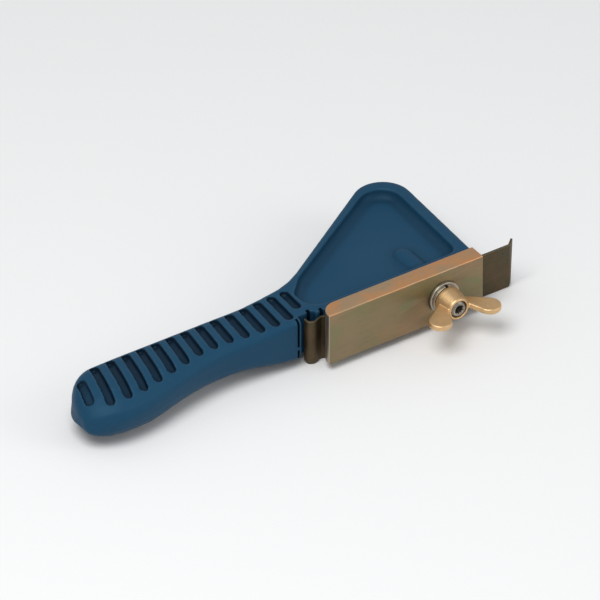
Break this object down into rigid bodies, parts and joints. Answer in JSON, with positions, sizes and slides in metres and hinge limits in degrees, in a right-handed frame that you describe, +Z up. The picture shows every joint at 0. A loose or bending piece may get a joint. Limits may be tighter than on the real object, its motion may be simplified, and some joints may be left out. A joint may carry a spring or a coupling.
{
  "type": "hand blade tool",
  "caption": "Hand tool with a ribbed moulded handle that widens into a flat triangular head, and a spring-steel blade clamped along its front edge by a steel bar and wing nut.",
  "frame": {"origin": "middle of the tool's footprint, on the surface that the blade's lower edge stands on", "axes": "+X along the handle and the blade towards the blade's tip, +Y from the blade into the head, +Z up, through the tool's thickness"},
  "size_m": [0.2356, 0.1074, 0.0312],
  "materials": {
    "moulded_plastic": "fine matt texture",
    "insert_brass": "turned",
    "stud_steel": "oiled black-grey steel",
    "blade_steel": "tempered spring steel, oiled",
    "plated_steel": "yellow-passivated zinc, satin",
    "washer_steel": "bright zinc",
    "plated_nut": "yellow-passivated zinc"
  },
  "bodies": {
    "handle": {"handle_body": "moulded_plastic", "thread_insert": "insert_brass", "clamp_stud": "stud_steel"},
    "clamp_stack": {"flat_washer": "washer_steel", "spring_washer": "washer_steel"},
    "nut": {"wing_nut": "plated_nut"},
    "plate": {"clamp_plate": "plated_steel"},
    "blade": {"blade": "blade_steel"}
  },
  "joints": [
    {"name": "clamp_slide", "type": "slide", "parent": "handle", "child": "clamp_stack", "axis": [0, -1, 0], "range_m": [0, 0.0063]},
    {"name": "wing_nut_turn", "type": "hinge", "parent": "clamp_stack", "child": "nut", "pos_m": [0.07063, -0.03056, 0.0175], "axis": [0, -1, 0], "range_deg": [0, 1800]},
    {"name": "plate_swivel", "type": "hinge", "parent": "clamp_stack", "child": "plate", "pos_m": [0.07063, -0.03056, 0.0175], "axis": [0, -1, 0], "range_deg": [-90, 90]},
    {"name": "blade_slide", "type": "slide", "parent": "plate", "child": "blade", "axis": [1, 0, 0], "range_m": [0, 0.003]}
  ],
  "couplings": [
    {"joint": "clamp_slide", "follows": "wing_nut_turn", "m_per_rad": 0.00019894}
  ]
}
